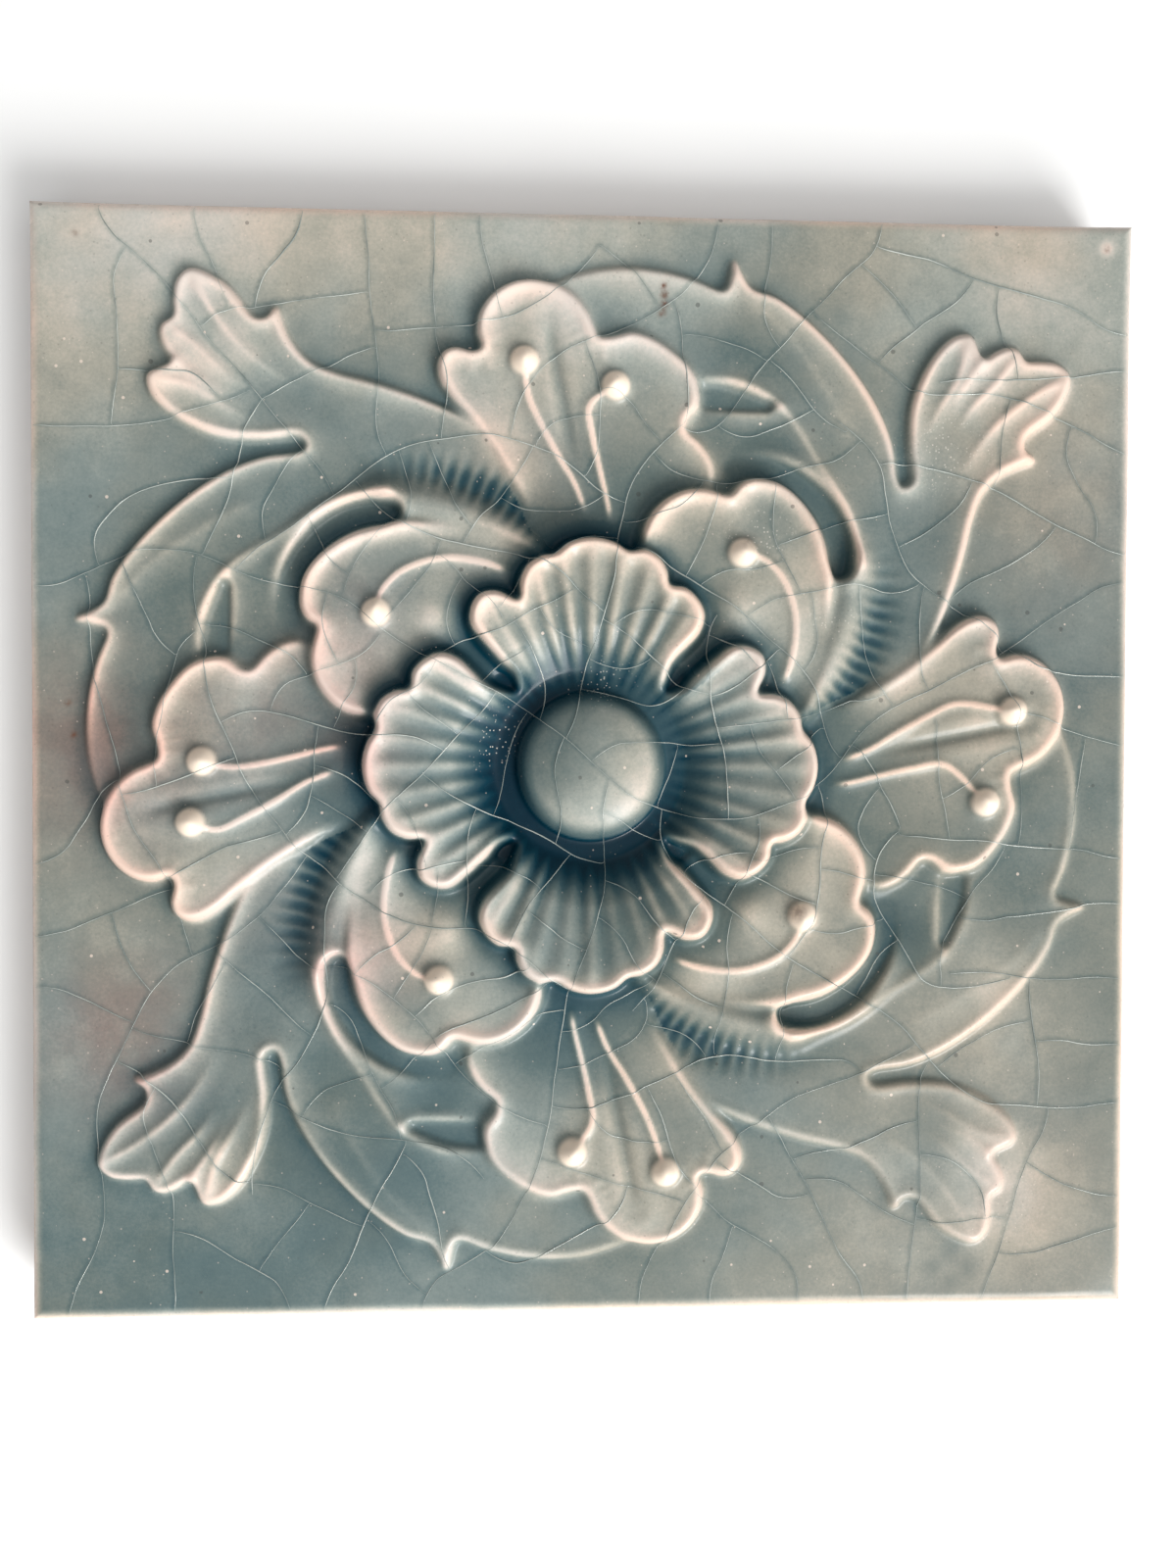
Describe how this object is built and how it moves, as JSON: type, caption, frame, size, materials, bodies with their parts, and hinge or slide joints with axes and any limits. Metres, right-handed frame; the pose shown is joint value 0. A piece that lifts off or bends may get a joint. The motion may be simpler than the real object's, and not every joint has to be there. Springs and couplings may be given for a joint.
{
  "type": "relief tile",
  "caption": "Square pressed ceramic wall tile with a scrolling flower ornament in high relief round a domed rosette, under a pooled glossy grey-blue glaze; keyed back.",
  "frame": {"origin": "centre of the underside, on the plane of its ribs", "axes": "+Z out of the decorated face, +Y towards the tile's top on the wall, +X to its right"},
  "size_m": [0.152, 0.152, 0.0163],
  "materials": {
    "thin_glaze_over_clay": "glossy thin glaze over a pale clay body; bare clay on the sides and the keyed back",
    "ground_glaze": "glossy grey-blue glaze with crazing",
    "pooled_glaze": "glossy dark blue glaze where it pooled thick"
  },
  "bodies": {
    "root": {"biscuit_body": "thin_glaze_over_clay", "ground_glaze": "ground_glaze", "cup_glaze": "pooled_glaze", "bud_slit_glaze_north_west": "pooled_glaze", "bud_slit_glaze_north_east": "pooled_glaze", "bud_slit_glaze_south_east": "pooled_glaze", "bud_slit_glaze_south_west": "pooled_glaze", "leaf_eye_glaze_north_west": "pooled_glaze", "leaf_eye_glaze_north_east": "pooled_glaze", "leaf_eye_glaze_south_east": "pooled_glaze", "leaf_eye_glaze_south_west": "pooled_glaze"}
  },
  "joints": []
}
